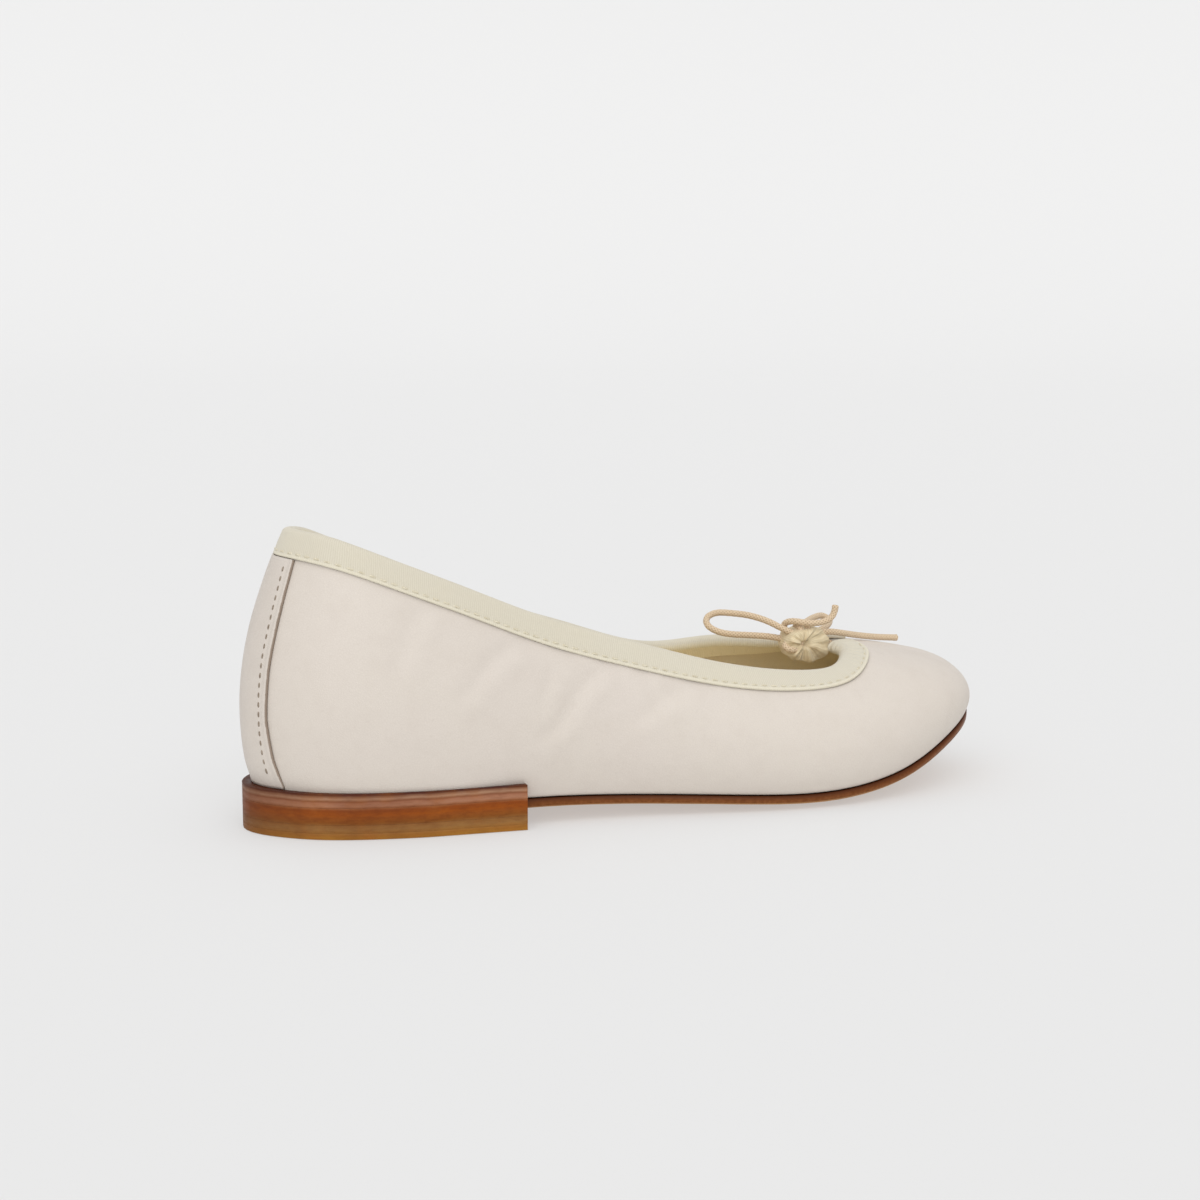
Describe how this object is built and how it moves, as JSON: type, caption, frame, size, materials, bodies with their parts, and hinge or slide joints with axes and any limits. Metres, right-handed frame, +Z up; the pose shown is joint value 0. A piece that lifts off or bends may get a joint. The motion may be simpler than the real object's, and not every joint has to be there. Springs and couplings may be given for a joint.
{
  "type": "ballet slipper",
  "caption": "Right-foot ballet slipper: soft leather upper, bound topline with a drawstring tied in a bow, thin leather outsole and a low stacked heel.",
  "frame": {"origin": "middle of the shoe's length and width, on the floor plane it stands on", "axes": "+X from heel to toe, +Z up, -Y the outer (lateral) side of a right shoe"},
  "size_m": [0.239, 0.082, 0.0886],
  "materials": {
    "upper": "smooth off-white calf",
    "lining_leather": "undyed goat",
    "lining_cloth": "cotton drill",
    "stiffener": "moulded fibre",
    "tape": "ribbed cotton tape",
    "cord": "braided cotton cord",
    "sole_leather": "vegetable tanned, stained edge",
    "cork": "pressed cork",
    "board": "cellulose board",
    "foam": "latex foam",
    "sock": "undyed goat",
    "top_piece": "ochre edge ink",
    "lift_low": "olive brown edge ink",
    "lift_up": "red brown mottled edge ink",
    "rand": "dark brown edge ink",
    "nail": "plain"
  },
  "bodies": {
    "shoe": {"upper_leather": "upper", "quarter_lining": "lining_leather", "vamp_lining": "lining_cloth", "heel_counter": "stiffener", "toe_puff": "stiffener", "binding_tape": "tape", "drawstring_in_tape": "cord", "backstay": "upper", "outsole": "sole_leather", "bottom_filler": "cork", "insole_board": "board", "insole_foam": "foam", "sock_lining": "sock", "heel_top_piece": "top_piece", "heel_lift_lower": "lift_low", "heel_lift_upper": "lift_up", "heel_rand": "rand", "heel_nail_1": "nail", "heel_nail_2": "nail", "heel_nail_3": "nail", "heel_nail_4": "nail", "heel_nail_5": "nail", "heel_nail_6": "nail", "heel_nail_7": "nail"},
    "bow": {"bow_cord_long_loop": "cord", "bow_cord_wrap_loop": "cord"}
  },
  "joints": [
    {"name": "bow_lift", "type": "hinge", "parent": "shoe", "child": "bow", "pos_m": [0.07174, 0.00096, 0.04295], "axis": [0, -1, 0], "range_deg": [0, 40]}
  ]
}
